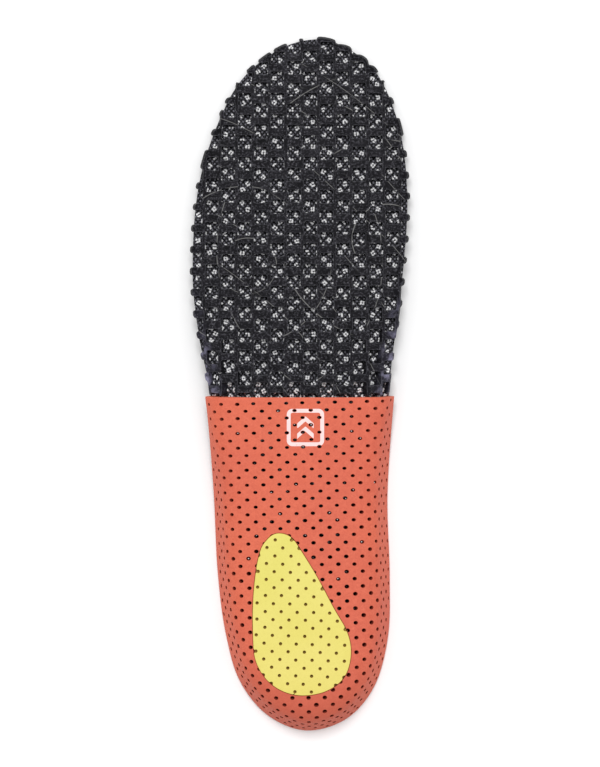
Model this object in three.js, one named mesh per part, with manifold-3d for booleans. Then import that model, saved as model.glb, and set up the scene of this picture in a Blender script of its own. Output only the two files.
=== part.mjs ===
// A cushioned insole for a right shoe, lying with its underside up, as it is when it is turned over on a table.
// Millimetres. +Z points out of the underside, +Y to the toes and +X to the inner, big toe side of the foot.
// The heel cup's rim and the tip of the toe rest on Z = 0.
import * as THREE from "three";
import { mergeVertices } from "three/addons/utils/BufferGeometryUtils.js";
import Module from "manifold-3d";

const wasm = await Module();
wasm.setup();

// Overall sizes.
const INSOLE_LENGTH = 270;
const BALL_WIDTH = 84.7;
const HEEL_CUP_DEPTH = 16;
const FOREFOOT_EDGE_DROP = 1.6;

// The outline, seen from below: [outward reach, distance from the heel end], as shares of the ball width
// and of the length. It starts at the heel end and runs up the inner side and back down the outer side.
const OUTLINE = [
  [0.024, 0.0],
  [0.203, 0.015],
  [0.331, 0.058],
  [0.401, 0.13],
  [0.411, 0.222],
  [0.401, 0.337],
  [0.43, 0.479],
  [0.468, 0.611],
  [0.503, 0.77],
  [0.459, 0.878],
  [0.349, 0.954],
  [0.201, 0.99],
  [0.083, 1.0],
  [-0.083, 0.988],
  [-0.272, 0.942],
  [-0.386, 0.877],
  [-0.476, 0.785],
  [-0.504, 0.661],
  [-0.483, 0.574],
  [-0.433, 0.479],
  [-0.398, 0.352],
  [-0.377, 0.224],
  [-0.34, 0.138],
  [-0.276, 0.071],
  [-0.149, 0.022],
];

// The spine that the faces are drawn from: the middle of the heel's round end and of the toe's, as shares
// of the ball width and of the length.
const HEEL_CENTRE = [0.018, 0.111];
const TOE_CENTRE = [0.024, 0.86];

// Layers, measured square to the surface.
const SHELL_HEEL_THICKNESS = 5.5;
const SHELL_FRONT_THICKNESS = 4.4;
const SHELL_RIM_THICKNESS = 2;
const FOREFOOT_RIM_THICKNESS = 4;
const SHELL_STEP = 1.2; // the shell stands this much prouder than the lattice
const COVER_THICKNESS = 1;
const BOND_GAP = 0.3;
const COVER_SETBACK = 1.1; // the cover's edge lies this far inside the lattice's teeth

// Flanks: the turn from the flat underside, and from the foot's side, into the wall.
const UNDERSIDE_RADIUS = 8;
const FOOT_RADIUS = 14;
const WALL_ANGLE = THREE.MathUtils.degToRad(72);
const OUTER_CUP_LENGTH = 70; // the cup keeps its full depth to here on the outer side of the foot
const INNER_CUP_LENGTH = 95;
const OUTER_FLANK_END = 165; // and has run out to a plain edge here
const INNER_FLANK_END = 175;
const HEEL_CUSHION_END = 75;
const ARCH_START = 112; // the underside is level from the heel end to here, and falls to the toe beyond

// The shell, and the lattice's thin tongue that it laps over.
const SHELL_LENGTH = 129.4;
const EDGE_CLEARANCE = 0.3;
const LAP_LENGTH = 12;
const TONGUE_THICKNESS = 1.2;

// The open cells of the lattice.
const CELL_WIDTH = 5;
const CELL_HEIGHT = 5.4;
const COLUMN_PITCH = 6.34;
const COLUMN_SHIFT = -2.4; // from the spine's zero line to the middle of the nearest column
const ROW_PITCH = 8.3;
const FIRST_ROW_OFFSET = 3.6; // from the shell's front edge to the middle of the first row
const CELL_OVERREACH = 1.5; // a cell is cut when its middle lies no further outside the outline than this

// The teardrop pad: two round ends and the sides that join them.
const PAD_HEEL_RADIUS = 19.1;
const PAD_TIP_RADIUS = 7.7;
const PAD_HEEL_CENTRE = [1.1, 33.6]; // from the spine's zero line and from the heel end
const PAD_TIP_CENTRE = [-8.1, 69.4];
const PAD_SIDE_BULGE = 1.2;
const PAD_THICKNESS = 2.6;
const PAD_CLEARANCE = 0.35;

// How finely the faces are divided.
const OUTLINE_SAMPLES = 1440;
const SIDE_STATIONS = 24;
const HEEL_SPOKES = 13;
const TOE_SPOKES = 11;
const FLANK_STEPS = 4;
const FLOOR_STEPS = 2;
const PAD_ARC_STEPS = 12;
const CUTTER_REACH = 60; // how far cutting blocks run past the insole
const CUTTER_OVERRUN = 3; // and cutting layers past the faces that they cut

const smooth = THREE.MathUtils.smoothstep;
const lerp = THREE.MathUtils.lerp;

// ---- Outline and spokes ----

function outlineCurve() {
  const points = OUTLINE.map(
    ([reach, along]) => new THREE.Vector3(reach * BALL_WIDTH, along * INSOLE_LENGTH, 0),
  );
  return new THREE.CatmullRomCurve3(points, true, "centripetal");
}

const curve = outlineCurve();
const outlinePoints = Array.from({ length: OUTLINE_SAMPLES }, (_, i) =>
  curve.getPoint(i / OUTLINE_SAMPLES),
);

// Where the ray from root along direction leaves the outline, with the outline's inward normal there.
function meetOutline(root, direction) {
  const across = new THREE.Vector2(-direction.y, direction.x);
  for (let i = 0; i < OUTLINE_SAMPLES; i++) {
    const a = outlinePoints[i];
    const b = outlinePoints[(i + 1) % OUTLINE_SAMPLES];
    const sideA = (a.x - root.x) * across.x + (a.y - root.y) * across.y;
    const sideB = (b.x - root.x) * across.x + (b.y - root.y) * across.y;
    const ahead = (a.x - root.x) * direction.x + (a.y - root.y) * direction.y;
    if (ahead > 0 && sideA <= 0 && sideB > 0) {
      const share = -sideA / (sideB - sideA);
      const tangent = new THREE.Vector2(b.x - a.x, b.y - a.y).normalize();
      return {
        edge: new THREE.Vector2(lerp(a.x, b.x, share), lerp(a.y, b.y, share)),
        inward: new THREE.Vector2(-tangent.y, tangent.x),
      };
    }
  }
  throw new Error("a spoke misses the outline");
}

function spoke(root, angle) {
  const direction = new THREE.Vector2(Math.cos(angle), Math.sin(angle));
  return { root, ...meetOutline(root, direction) };
}

// Spokes all round, counter-clockwise seen from above the underside: up the inner side, round the toe,
// down the outer side and round the heel.
function makeSpokes() {
  const heel = new THREE.Vector2(HEEL_CENTRE[0] * BALL_WIDTH, HEEL_CENTRE[1] * INSOLE_LENGTH);
  const toe = new THREE.Vector2(TOE_CENTRE[0] * BALL_WIDTH, TOE_CENTRE[1] * INSOLE_LENGTH);
  const roots = Array.from({ length: SIDE_STATIONS + 1 }, (_, i) =>
    heel.clone().lerp(toe, i / SIDE_STATIONS),
  );
  const toeFan = Array.from({ length: TOE_SPOKES }, (_, i) =>
    spoke(toe, (Math.PI * (i + 1)) / (TOE_SPOKES + 1)),
  );
  const heelFan = Array.from({ length: HEEL_SPOKES }, (_, i) =>
    spoke(heel, Math.PI + (Math.PI * (i + 1)) / (HEEL_SPOKES + 1)),
  );
  return [
    ...roots.map((root) => spoke(root, 0)),
    ...toeFan,
    ...[...roots].reverse().map((root) => spoke(root, Math.PI)),
    ...heelFan,
  ];
}

const spokes = makeSpokes();

// ---- Sizes along the foot ----

// How far the flank falls from the flat underside to the rim.
function rimDrop(edge) {
  const inner = edge.x > 0;
  const start = inner ? INNER_CUP_LENGTH : OUTER_CUP_LENGTH;
  const end = inner ? INNER_FLANK_END : OUTER_FLANK_END;
  return lerp(HEEL_CUP_DEPTH, FOREFOOT_EDGE_DROP, smooth(edge.y, start, end));
}

function floorThickness(y) {
  return lerp(SHELL_HEEL_THICKNESS, SHELL_FRONT_THICKNESS, smooth(y, HEEL_CUSHION_END, ARCH_START));
}

// A flank's section: an arc that leaves the flat and steepens to the wall angle, then a straight wall.
function flankSection(drop, radius) {
  const angle = Math.min(WALL_ANGLE, Math.acos(1 - drop / radius));
  const wall = Math.max(0, (drop - radius * (1 - Math.cos(angle))) / Math.sin(angle));
  return { angle, radius, wall, run: radius * Math.sin(angle) + wall * Math.cos(angle) };
}

// The point of a section at a distance from the flat, measured along it.
function sectionPoint(section, distance) {
  const slope = Math.min(section.angle, distance / section.radius);
  const wall = Math.max(0, distance - section.radius * section.angle);
  return {
    slope,
    run: section.radius * Math.sin(slope) + wall * Math.cos(slope),
    fall: section.radius * (1 - Math.cos(slope)) + wall * Math.sin(slope),
  };
}

// The two faces that every layer is measured from, on one spoke: the underside, and the inside of the
// shell, which faces the foot.
function undersideBase({ edge }) {
  const section = flankSection(rimDrop(edge), UNDERSIDE_RADIUS);
  return { section, inset: 0, depth: 0 };
}

// The foot's side of the shell. Its rim is cut square to the wall round the heel cup, and square to the
// ground round the forefoot.
function footBase({ edge }) {
  const drop = rimDrop(edge);
  const under = flankSection(drop, UNDERSIDE_RADIUS);
  const forward = smooth(edge.y, ARCH_START, INNER_FLANK_END);
  const rim = lerp(SHELL_RIM_THICKNESS, FOREFOOT_RIM_THICKNESS, forward);
  const cutAngle = lerp(under.angle, 0, forward);
  const depth = floorThickness(edge.y);
  const rimDepth = drop + rim * Math.cos(cutAngle);
  const section = flankSection(rimDepth - depth, FOOT_RADIUS);
  return { section, inset: rim * Math.sin(cutAngle), depth };
}

// ---- Layers ----

const noSetback = () => 0;
const overrun = () => -CUTTER_OVERRUN;

// The cover stops short of the lattice's teeth, and is flush with the shell.
function coverSetback({ edge }) {
  return COVER_SETBACK * smooth(edge.y, SHELL_LENGTH, OUTER_FLANK_END);
}

const COVER_UPPER = { base: footBase, offset: BOND_GAP, setback: coverSetback };
const COVER_LOWER = { base: footBase, offset: BOND_GAP + COVER_THICKNESS, setback: coverSetback };

// A face's flank on one spoke, from the rim to the flat: how far in from the outline, and how far below
// the underside, each point lies. offset is how far the face lies towards the foot from its base, and
// setback how far its rim stops short; a negative setback runs past the rim.
function flankPoints(aSpoke, { base, offset = 0, setback = noSetback }) {
  const { section, inset, depth } = base(aSpoke);
  const length = section.radius * section.angle + section.wall - setback(aSpoke);
  return Array.from({ length: FLANK_STEPS + 1 }, (_, i) => {
    const { slope, run, fall } = sectionPoint(section, length * (1 - i / FLANK_STEPS));
    const distanceIn = inset + section.run - run + offset * Math.sin(slope);
    return {
      at: aSpoke.edge.clone().addScaledVector(aSpoke.inward, distanceIn),
      below: depth + fall + offset * Math.cos(slope),
    };
  });
}

// The underside is level under the heel and the arch. Beyond, it falls ever faster, so that the cover comes
// down at the toe to the plane that it has at the heel cup's rim.
const heelSpoke = spokes.reduce((a, b) => (b.edge.y < a.edge.y ? b : a));
const toeSpoke = spokes.reduce((a, b) => (b.edge.y > a.edge.y ? b : a));
const heelRim = flankPoints(heelSpoke, COVER_LOWER)[0];
const toeRim = flankPoints(toeSpoke, COVER_LOWER)[0];
const UNDERSIDE_HEIGHT = heelRim.below;
const TOE_BEND = (UNDERSIDE_HEIGHT - toeRim.below) / (toeRim.at.y - ARCH_START) ** 2;

function undersideHeight(y) {
  return UNDERSIDE_HEIGHT - TOE_BEND * Math.max(0, y - ARCH_START) ** 2;
}

// A face's points on one spoke, from the rim to the spine.
function facePoints(aSpoke, face) {
  const flank = flankPoints(aSpoke, face);
  const { at, below } = flank[FLANK_STEPS];
  const floor = Array.from({ length: FLOOR_STEPS }, (_, i) => ({
    at: at.clone().lerp(aSpoke.root, (i + 1) / FLOOR_STEPS),
    below,
  }));
  return [...flank, ...floor].map((p) => [p.at.x, p.at.y, undersideHeight(p.at.y) - p.below]);
}

// Drops the triangles that merging has flattened, where faces meet at a point or a line.
function cleanGeometry(positions, index) {
  const raw = new THREE.BufferGeometry();
  raw.setAttribute("position", new THREE.Float32BufferAttribute(positions, 3));
  raw.setIndex(index);
  const merged = mergeVertices(raw, 1e-3);
  const kept = [];
  const ids = merged.index.array;
  for (let i = 0; i < ids.length; i += 3) {
    const [a, b, c] = [ids[i], ids[i + 1], ids[i + 2]];
    if (a !== b && b !== c && c !== a) kept.push(a, b, c);
  }
  merged.setIndex(kept);
  return merged;
}

// The closed solid between an upper face, nearer the underside, and a lower one.
function layerGeometry(upper, lower) {
  const columns = spokes.map((s) => [facePoints(s, upper), facePoints(s, lower)]);
  const rows = FLANK_STEPS + FLOOR_STEPS + 1;
  const positions = columns.flat(3);
  const index = [];
  const vertex = (column, face, row) => ((column % spokes.length) * 2 + face) * rows + row;
  const quad = (a, b, c, d) => index.push(a, b, c, a, c, d);
  for (let i = 0; i < spokes.length; i++) {
    for (let row = 0; row < rows - 1; row++) {
      quad(vertex(i, 0, row), vertex(i + 1, 0, row), vertex(i + 1, 0, row + 1), vertex(i, 0, row + 1));
      quad(vertex(i + 1, 1, row), vertex(i, 1, row), vertex(i, 1, row + 1), vertex(i + 1, 1, row + 1));
    }
    quad(vertex(i, 1, 0), vertex(i + 1, 1, 0), vertex(i + 1, 0, 0), vertex(i, 0, 0));
  }
  return cleanGeometry(positions, index);
}

// ---- Joining and cutting ----

function toSolid(geometry) {
  const bare = geometry.clone();
  bare.deleteAttribute("normal");
  bare.deleteAttribute("uv");
  const merged = mergeVertices(bare, 1e-3);
  return new wasm.Manifold(
    new wasm.Mesh({
      numProp: 3,
      vertProperties: new Float32Array(merged.attributes.position.array),
      triVerts: new Uint32Array(merged.index.array),
    }),
  );
}

function toGeometry(solid) {
  const made = solid.getMesh();
  const geometry = new THREE.BufferGeometry();
  geometry.setAttribute("position", new THREE.BufferAttribute(made.vertProperties, 3));
  geometry.setIndex(new THREE.BufferAttribute(made.triVerts, 1));
  geometry.computeVertexNormals();
  return geometry;
}

// A block across the whole insole between two distances from the heel end.
function block(fromY, toY) {
  const box = new THREE.BoxGeometry(2 * BALL_WIDTH, toY - fromY, 2 * CUTTER_REACH);
  box.translate(0, (fromY + toY) / 2, 0);
  return toSolid(box);
}

// ---- Pieces ----

const BEHIND = -CUTTER_REACH;
const BEYOND = INSOLE_LENGTH + CUTTER_REACH;
const shellLayer = toSolid(layerGeometry({ base: undersideBase }, { base: footBase }));

// Everything further from the foot than a distance from the shell's foot side.
function outsideOf(distance) {
  return toSolid(
    layerGeometry(
      { base: undersideBase, offset: -CUTTER_OVERRUN, setback: overrun },
      { base: footBase, offset: -distance, setback: overrun },
    ),
  );
}

function coverGeometry() {
  return layerGeometry(COVER_UPPER, COVER_LOWER);
}

// The teardrop's outline in plan, grown by a clearance.
function padShape(grow) {
  const heel = new THREE.Vector2(...PAD_HEEL_CENTRE);
  const tip = new THREE.Vector2(...PAD_TIP_CENTRE);
  const axis = tip.clone().sub(heel);
  const heading = axis.angle();
  const spread = Math.acos((PAD_HEEL_RADIUS - PAD_TIP_RADIUS) / axis.length());
  const outward = new THREE.Vector2(Math.cos(heading + spread), Math.sin(heading + spread));
  const tipSide = tip.clone().addScaledVector(outward, PAD_TIP_RADIUS + grow);
  const heelSide = heel.clone().addScaledVector(outward, PAD_HEEL_RADIUS + grow);
  const control = tipSide.clone().lerp(heelSide, 0.5).addScaledVector(outward, 2 * PAD_SIDE_BULGE);
  const shape = new THREE.Shape();
  shape.absarc(tip.x, tip.y, PAD_TIP_RADIUS + grow, heading - spread, heading + spread, false);
  shape.quadraticCurveTo(control.x, control.y, heelSide.x, heelSide.y);
  const heelEnd = heading - spread + 2 * Math.PI;
  shape.absarc(heel.x, heel.y, PAD_HEEL_RADIUS + grow, heading + spread, heelEnd, false);
  shape.closePath();
  return shape;
}

// The teardrop as an upright prism that starts at a depth below the underside and runs up past it.
function padPrism(grow, depth) {
  const prism = new THREE.ExtrudeGeometry(padShape(grow), {
    depth: depth + CUTTER_OVERRUN,
    bevelEnabled: false,
    curveSegments: PAD_ARC_STEPS,
  });
  prism.translate(0, 0, UNDERSIDE_HEIGHT - depth);
  return toSolid(prism);
}

// The pad's upper face runs on from the shell's underside.
function padGeometry() {
  return toGeometry(shellLayer.intersect(padPrism(0, PAD_THICKNESS)));
}

function shellGeometry() {
  const recess = padPrism(PAD_CLEARANCE, PAD_THICKNESS + BOND_GAP);
  const lapStart = SHELL_LENGTH - LAP_LENGTH - EDGE_CLEARANCE;
  const rear = shellLayer.intersect(block(BEHIND, lapStart));
  const overlap = shellLayer
    .intersect(block(lapStart, SHELL_LENGTH))
    .intersect(outsideOf(TONGUE_THICKNESS + BOND_GAP));
  return toGeometry(rear.add(overlap).subtract(recess));
}

// How far a point lies inside the outline: negative outside.
function distanceInside(x, y) {
  const nearest = outlinePoints.reduce(
    (best, p, i) => {
      const distance = Math.hypot(p.x - x, p.y - y);
      return distance < best.distance ? { distance, i } : best;
    },
    { distance: Infinity, i: 0 },
  );
  const a = outlinePoints[nearest.i];
  const b = outlinePoints[(nearest.i + 1) % OUTLINE_SAMPLES];
  const side = (b.x - a.x) * (y - a.y) - (b.y - a.y) * (x - a.x);
  return Math.sign(side) * nearest.distance;
}

// The middles of the open cells: upright columns, each half a row out of step with the next.
function cellMiddles() {
  const columns = Math.ceil(BALL_WIDTH / COLUMN_PITCH / 2) + 1;
  const rows = Math.ceil((INSOLE_LENGTH - SHELL_LENGTH) / ROW_PITCH) + 1;
  const middles = [];
  for (let column = -columns; column <= columns; column++) {
    const x = COLUMN_SHIFT + column * COLUMN_PITCH;
    const firstRow = SHELL_LENGTH + FIRST_ROW_OFFSET + (column % 2 === 0 ? 0 : ROW_PITCH / 2);
    for (let row = 0; row < rows; row++) {
      const y = firstRow + row * ROW_PITCH;
      if (distanceInside(x, y) > -CELL_OVERREACH) middles.push([x, y]);
    }
  }
  return middles;
}

function cell([x, y]) {
  const box = new THREE.BoxGeometry(CELL_WIDTH, CELL_HEIGHT, CUTTER_REACH);
  box.translate(x, y, 0);
  return toSolid(box);
}

// Trimming the sheet to the outline leaves loose crumbs of the cut cells' walls, which fall away.
function withoutCrumbs(solid) {
  return solid.decompose().reduce((a, b) => (b.volume() > a.volume() ? b : a));
}

function latticeGeometry() {
  const sheet = toSolid(layerGeometry({ base: undersideBase, offset: SHELL_STEP }, { base: footBase }));
  const cells = cellMiddles().map(cell).reduce((a, b) => a.add(b));
  const frontStart = SHELL_LENGTH + EDGE_CLEARANCE;
  const lapStart = SHELL_LENGTH - LAP_LENGTH;
  const overTongue = outsideOf(TONGUE_THICKNESS).intersect(block(BEHIND, frontStart));
  const body = sheet.intersect(block(lapStart, BEYOND)).subtract(overTongue).subtract(cells);
  return toGeometry(withoutCrumbs(body));
}

// ---- The insole ----

const BLACK_MESH = { color: 0x1c1c20, roughness: 0.95, metalness: 0 };
const BLACK_FOAM = { color: 0x35343a, roughness: 0.6, metalness: 0 };
const CORAL_FOAM = { color: 0xe07159, roughness: 0.75, metalness: 0 };
const YELLOW_FOAM = { color: 0xefe281, roughness: 0.8, metalness: 0 };

function piece(name, geometry, look) {
  const mesh = new THREE.Mesh(geometry, new THREE.MeshStandardMaterial(look));
  mesh.name = name;
  return mesh;
}

const insole = new THREE.Group();
insole.add(piece("top_cover", coverGeometry(), BLACK_MESH));
insole.add(piece("forefoot_lattice", latticeGeometry(), BLACK_FOAM));
insole.add(piece("heel_shell", shellGeometry(), CORAL_FOAM));
insole.add(piece("heel_pad", padGeometry(), YELLOW_FOAM));

// The origin is the middle of the insole's bounding box, on the plane that it lies on.
const bounds = new THREE.Box3().setFromObject(insole, true);
const middle = bounds.getCenter(new THREE.Vector3());
insole.position.set(-middle.x, -middle.y, -bounds.min.z);

const part = new THREE.Group();
part.add(insole);
export default part;
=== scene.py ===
import math

import bpy
import numpy as np
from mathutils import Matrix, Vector
from mathutils.geometry import convex_hull_2d, delaunay_2d_cdt
from mathutils.kdtree import KDTree


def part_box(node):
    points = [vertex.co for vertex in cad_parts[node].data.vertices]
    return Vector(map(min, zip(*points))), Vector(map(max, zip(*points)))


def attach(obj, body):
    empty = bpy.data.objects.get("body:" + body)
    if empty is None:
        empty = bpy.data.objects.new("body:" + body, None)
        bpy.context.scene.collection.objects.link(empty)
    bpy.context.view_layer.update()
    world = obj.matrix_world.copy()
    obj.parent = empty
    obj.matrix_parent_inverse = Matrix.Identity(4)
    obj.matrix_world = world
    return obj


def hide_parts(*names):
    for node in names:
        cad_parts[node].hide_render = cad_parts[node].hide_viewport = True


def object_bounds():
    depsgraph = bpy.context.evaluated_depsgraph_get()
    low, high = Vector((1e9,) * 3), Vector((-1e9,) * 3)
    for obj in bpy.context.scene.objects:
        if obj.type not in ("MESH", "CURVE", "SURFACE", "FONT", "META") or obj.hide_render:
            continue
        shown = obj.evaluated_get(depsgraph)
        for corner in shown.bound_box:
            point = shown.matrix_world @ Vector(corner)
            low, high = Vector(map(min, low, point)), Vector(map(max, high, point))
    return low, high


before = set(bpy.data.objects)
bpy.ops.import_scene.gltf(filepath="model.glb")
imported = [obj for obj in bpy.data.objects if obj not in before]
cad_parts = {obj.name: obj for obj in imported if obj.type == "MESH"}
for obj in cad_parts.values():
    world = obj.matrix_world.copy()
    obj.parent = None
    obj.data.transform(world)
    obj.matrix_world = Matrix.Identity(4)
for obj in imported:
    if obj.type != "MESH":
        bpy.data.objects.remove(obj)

# A cushioned insole for a right shoe, underside up: a black open-cell forefoot lattice on black mesh
# fabric, a perforated coral heel shell with a printed mark, and a yellow teardrop pad set into it.
# Metres, in the CAD frame: +Z out of the underside, +Y to the toes, +X to the inner side of the foot.

CAD_LOW, CAD_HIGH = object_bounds()
SHELL_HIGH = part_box("heel_shell")[1]
LENGTH = CAD_HIGH.y - CAD_LOW.y
WIDTH = CAD_HIGH.x - CAD_LOW.x
HEEL_Y = CAD_LOW.y
UNDERSIDE_Z = SHELL_HIGH.z
SHELL_FRONT = SHELL_HIGH.y

# The outline, anticlockwise from the heel end: x as a share of the ball width, and the distance from the
# heel end as a share of the length.
OUTLINE = [
    (0.024, 0.0), (0.203, 0.015), (0.331, 0.058), (0.401, 0.13), (0.411, 0.222),
    (0.401, 0.337), (0.43, 0.479), (0.468, 0.611), (0.503, 0.77), (0.459, 0.878),
    (0.349, 0.954), (0.201, 0.99), (0.083, 1.0), (-0.083, 0.988), (-0.272, 0.942),
    (-0.386, 0.877), (-0.476, 0.785), (-0.504, 0.661), (-0.483, 0.574), (-0.433, 0.479),
    (-0.398, 0.352), (-0.377, 0.224), (-0.34, 0.138), (-0.276, 0.071), (-0.149, 0.022),
]

# The flank's sections, as in the CAD part. Lengths and ends are distances from the heel end.
CUP_DEPTH = 0.016
EDGE_DROP = 0.0016
UNDERSIDE_RADIUS = 0.008
FOOT_RADIUS = 0.014
WALL_ANGLE = math.radians(72)
OUTER_CUP_LENGTH = 0.070
INNER_CUP_LENGTH = 0.095
OUTER_FLANK_END = 0.165
INNER_FLANK_END = 0.175
HEEL_CUSHION_END = 0.075
ARCH_START = 0.112
HEEL_THICKNESS = 0.0055
FRONT_THICKNESS = 0.0044
SHELL_RIM = 0.002
FOREFOOT_RIM = 0.004
FLANK_REACH = 0.018  # further in than this both faces of the shell are level
STATIONS = 900  # sections round the outline
STATION_MOVES = 12  # the most stations that a point's own is from the one nearest to it

# The forefoot lattice, which lies a step below the shell's underside.
SHELL_STEP = 0.0012
CELL_SIZE = (0.0052, 0.0053)
CELL_CORNER = 0.0006
COLUMN_PITCH = 0.00634
COLUMN_SHIFT = -0.0024
ROW_PITCH = 0.0083
CELL_SCATTER = 0.0001
FIRST_ROW = 0.0031  # from the shell's front edge
SEAM_GAP = 0.0002
NOTCH_ROWS = 3
NOTCH_DEPTH = 0.0024
TOE_BAND = 0.018  # this near the toe end, and left of TOE_SIDE, no cell cuts into the edge
TOE_SIDE = 0.003
CELL_OVERHANG = 0.0022  # how far out of the outline a cell's middle may be
TOE_MARGIN = 0.0012

# The cover, with its faces measured square to the foot side of the foam.
COVER_TOP = 0.0001
COVER_BOTTOM = 0.0013
COVER_SETBACK = 0.0011

# The shell's punched holes. Half sizes are across and along the insole.
SHELL_HOLE_PITCH = (0.00627, 0.00284)
SHELL_HOLE_TILT = math.radians(1.2)
SHELL_HOLE_ANCHOR = (0.0009, SHELL_FRONT - 0.0021)
SHELL_HOLE_SCATTER = 0.00006
FRONT_HOLE = (0.00078, 0.00058)
BACK_HOLE = (0.00086, 0.00076)
HOLES_GROW = (0.115, 0.03)  # distances from the heel end between which they do
SIDE_MARGIN = 0.0016
FRONT_MARGIN = 0.0012

# The printed mark: a rounded square ring round two chevrons.
MARK_CENTRE = np.array([0.0021, SHELL_FRONT - 0.0116])
MARK_HALF = 0.0072
MARK_CORNER = 0.0022
MARK_STROKE = 0.0015
MARK_REACH = 0.009
CHEVRON = {"half_width": 0.0031, "rise": 0.0027, "stroke": 0.0017}
CHEVRON_TIPS = (0.0042, 0.0003)
CHEVRON_GROWTH = 0.0001

# The pad and its recess. Depths are below the shell's underside.
PAD_HOLE_RADIUS = 0.0006
PAD_HOLE_PITCH = (0.0062, 0.00307)
PAD_HOLE_TILT = math.radians(-1.6)
PAD_HOLE_ANCHOR = (-0.00155, HEEL_Y + 0.0282)
PAD_HOLE_SCATTER = 0.00005
PAD_DEPTH = 0.0028
PAD_HOLE_DEPTH = 0.0017
PAD_LAP = 0.00005  # how far the punched layer sinks into the pad's base
PAD_PROUD = 0.0001
PAD_CROWN = 0.00035
PAD_CROWN_REACH = 0.006
PAD_BASE_SETBACK = 0.00008
PAD_GAP = 0.00006
RECESS_WALL = 0.0001
RECESS_CLEARANCE = 0.0003
# Its axis, as distances from the heel end and the x there
PAD_AXIS_ENDS = (0.0336, 0.0694)
PAD_AXIS_X = (0.0011, -0.0081)
# How its cut edge departs from a plain teardrop: side, place from the heel end, spread and shift in x
PAD_TRIM = ((1, 0.045, 0.012, -0.0016), (1, 0.019, 0.007, 0.0013), (-1, 0.0765, 0.006, 0.0012))
PAD_TRIM_REACH = 0.006  # from the axis to where the whole shift applies

# The yarn that shows in the cover.
FLECK_PITCH = (COLUMN_PITCH * 2 / 3, 0.00242)
FLECK_ANCHOR = (COLUMN_SHIFT - COLUMN_PITCH * 7 / 6, 0.06985)
FLECK_STITCHES = 4
STITCH_SKIPPED = 0.1
FLECK_SCATTER = 0.00014
FLECK_MARGIN = 0.0012
LOOSE_ENDS = 22
LOOSE_END_DEPTH = 0.0007
LOOSE_END_MARGIN = 0.012  # inside the outline, where the shell is level
PAD_SURROUND = 0.002

# Plates are triangulated in millimetres, because the tolerance suits numbers near one.
MILLIMETRES = 1000.0
TOLERANCE = 1e-5
FILL_MARGIN = 0.35  # of a fill pitch, from the edge to the nearest fill point
SLIVER = 0.0000003  # square metres, far less than any hole
STRAY = 0.0002  # an outline point that would settle further off than this keeps its place
MARGIN = 0.004  # round a plate, for its grid

STUDIO_LIGHT = 1.1
rng = np.random.default_rng(8)


# ---- Curves and sections ----

def smoothstep(x, low, high):
    t = np.clip((x - low) / (high - low), 0, 1)
    return t * t * (3 - 2 * t)


def mix(a, b, t):
    return a + (b - a) * t


def smooth_loop(points, count, substeps=80):
    """A closed centripetal Catmull-Rom curve through points, at count evenly spaced places."""
    p = np.asarray(points, float)
    fine = []
    for i in range(len(p)):
        a, b, c, d = p[i - 1], p[i], p[(i + 1) % len(p)], p[(i + 2) % len(p)]
        ab, bc, cd = (math.sqrt(np.linalg.norm(v)) for v in (b - a, c - b, d - c))
        start = ((b - a) / ab - (c - a) / (ab + bc) + (c - b) / bc) * bc
        end = ((c - b) / bc - (d - b) / (bc + cd) + (d - c) / cd) * bc
        t = np.linspace(0, 1, substeps, endpoint=False)[:, None]
        fine.append(
            (2 * t**3 - 3 * t**2 + 1) * b + (t**3 - 2 * t**2 + t) * start
            + (3 * t**2 - 2 * t**3) * c + (t**3 - t**2) * end
        )
    return along_loop(np.vstack(fine), count)


def along_loop(loop, count):
    """Evenly spaced places along a closed loop."""
    closed = np.vstack([loop, loop[:1]])
    along = np.concatenate([[0], np.cumsum(np.linalg.norm(np.diff(closed, axis=0), axis=1))])
    places = np.linspace(0, along[-1], count, endpoint=False)
    return np.column_stack([np.interp(places, along, closed[:, k]) for k in (0, 1)])


def section(drop, radius):
    """A flank's section, an arc that leaves the flat and a straight wall: its angle, run and length."""
    angle = np.minimum(WALL_ANGLE, np.arccos(1 - drop / radius))
    wall = np.maximum(0, (drop - radius * (1 - np.cos(angle))) / np.sin(angle))
    return angle, radius * np.sin(angle) + wall * np.cos(angle), radius * angle + wall


def section_point(distance, angle, radius):
    """Slope, run and fall of a section at a distance from the flat."""
    slope = np.clip(distance / radius, 0, angle)
    wall = np.maximum(0, distance - radius * angle)
    run = radius * np.sin(slope) + wall * np.cos(slope)
    return slope, run, radius * (1 - np.cos(slope)) + wall * np.sin(slope)


def floor_thickness(from_heel):
    """The foam's thickness where it is level."""
    return mix(HEEL_THICKNESS, FRONT_THICKNESS, smoothstep(from_heel, HEEL_CUSHION_END, ARCH_START))


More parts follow.
